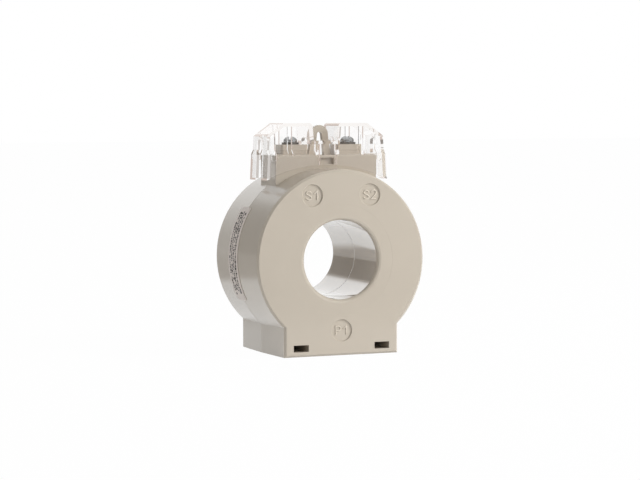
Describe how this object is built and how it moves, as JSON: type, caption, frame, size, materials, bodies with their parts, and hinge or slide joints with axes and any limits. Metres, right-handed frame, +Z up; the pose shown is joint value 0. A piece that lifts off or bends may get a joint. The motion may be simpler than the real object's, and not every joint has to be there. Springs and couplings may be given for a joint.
{
  "type": "current transformer",
  "caption": "Ring-type current transformer with a round cable window, flat foot and screw terminals under a clear sealable cover.",
  "frame": {"origin": "on the axis of the cable window, at the seam between the case halves (mid depth)", "axes": "+Y along the cable window, from the front face to the rear face; +Z up, towards the terminals; +X from terminal S1 to terminal S2"},
  "size_m": [0.065, 0.0414, 0.0817],
  "materials": {
    "case_beige": "satin moulded plastic",
    "cover_clear": "clear polycarbonate",
    "zinc": "zinc plated",
    "brass": "plain",
    "tinned": "tinned",
    "lead_sleeve": "satin",
    "core_steel": "plain",
    "cup_plastic": "plain",
    "winding_copper": "enamelled copper",
    "wrap_tape": "plain",
    "label_paper": "printed paper"
  },
  "bodies": {
    "case": {"front_case": "case_beige", "rear_case": "case_beige", "terminal_carrier": "case_beige", "terminal_insert_s1": "brass", "terminal_insert_s2": "brass", "solder_tag_s1": "tinned", "solder_tag_s2": "tinned", "lead_s1": "lead_sleeve", "lead_s2": "lead_sleeve", "core": "core_steel", "core_cup_front": "cup_plastic", "core_cup_rear": "cup_plastic", "secondary_winding": "winding_copper", "winding_wrap": "wrap_tape", "side_label": "label_paper"},
    "cover": {"terminal_cover": "cover_clear"},
    "clamp_s1": {"clamp_washer_s1": "zinc"},
    "screw_s1": {"terminal_screw_s1": "zinc"},
    "clamp_s2": {"clamp_washer_s2": "zinc"},
    "screw_s2": {"terminal_screw_s2": "zinc"}
  },
  "joints": [
    {"name": "cover_lift", "type": "slide", "parent": "case", "child": "cover", "axis": [0, 0, 1], "range_m": [0, 0.025]},
    {"name": "clamp_rise_s1", "type": "slide", "parent": "case", "child": "clamp_s1", "axis": [0, 0, 1], "range_m": [0, 0.002]},
    {"name": "screw_turn_s1", "type": "hinge", "parent": "clamp_s1", "child": "screw_s1", "pos_m": [-0.01105, 0, 0.04115], "axis": [0, 0, 1], "range_deg": [0, 1440]},
    {"name": "clamp_rise_s2", "type": "slide", "parent": "case", "child": "clamp_s2", "axis": [0, 0, 1], "range_m": [0, 0.002]},
    {"name": "screw_turn_s2", "type": "hinge", "parent": "clamp_s2", "child": "screw_s2", "pos_m": [0.01105, 0, 0.04115], "axis": [0, 0, 1], "range_deg": [0, 1440]}
  ],
  "couplings": [
    {"joint": "screw_turn_s1", "follows": "clamp_rise_s1", "rad_per_m": 12566},
    {"joint": "screw_turn_s2", "follows": "clamp_rise_s2", "rad_per_m": 12566}
  ]
}
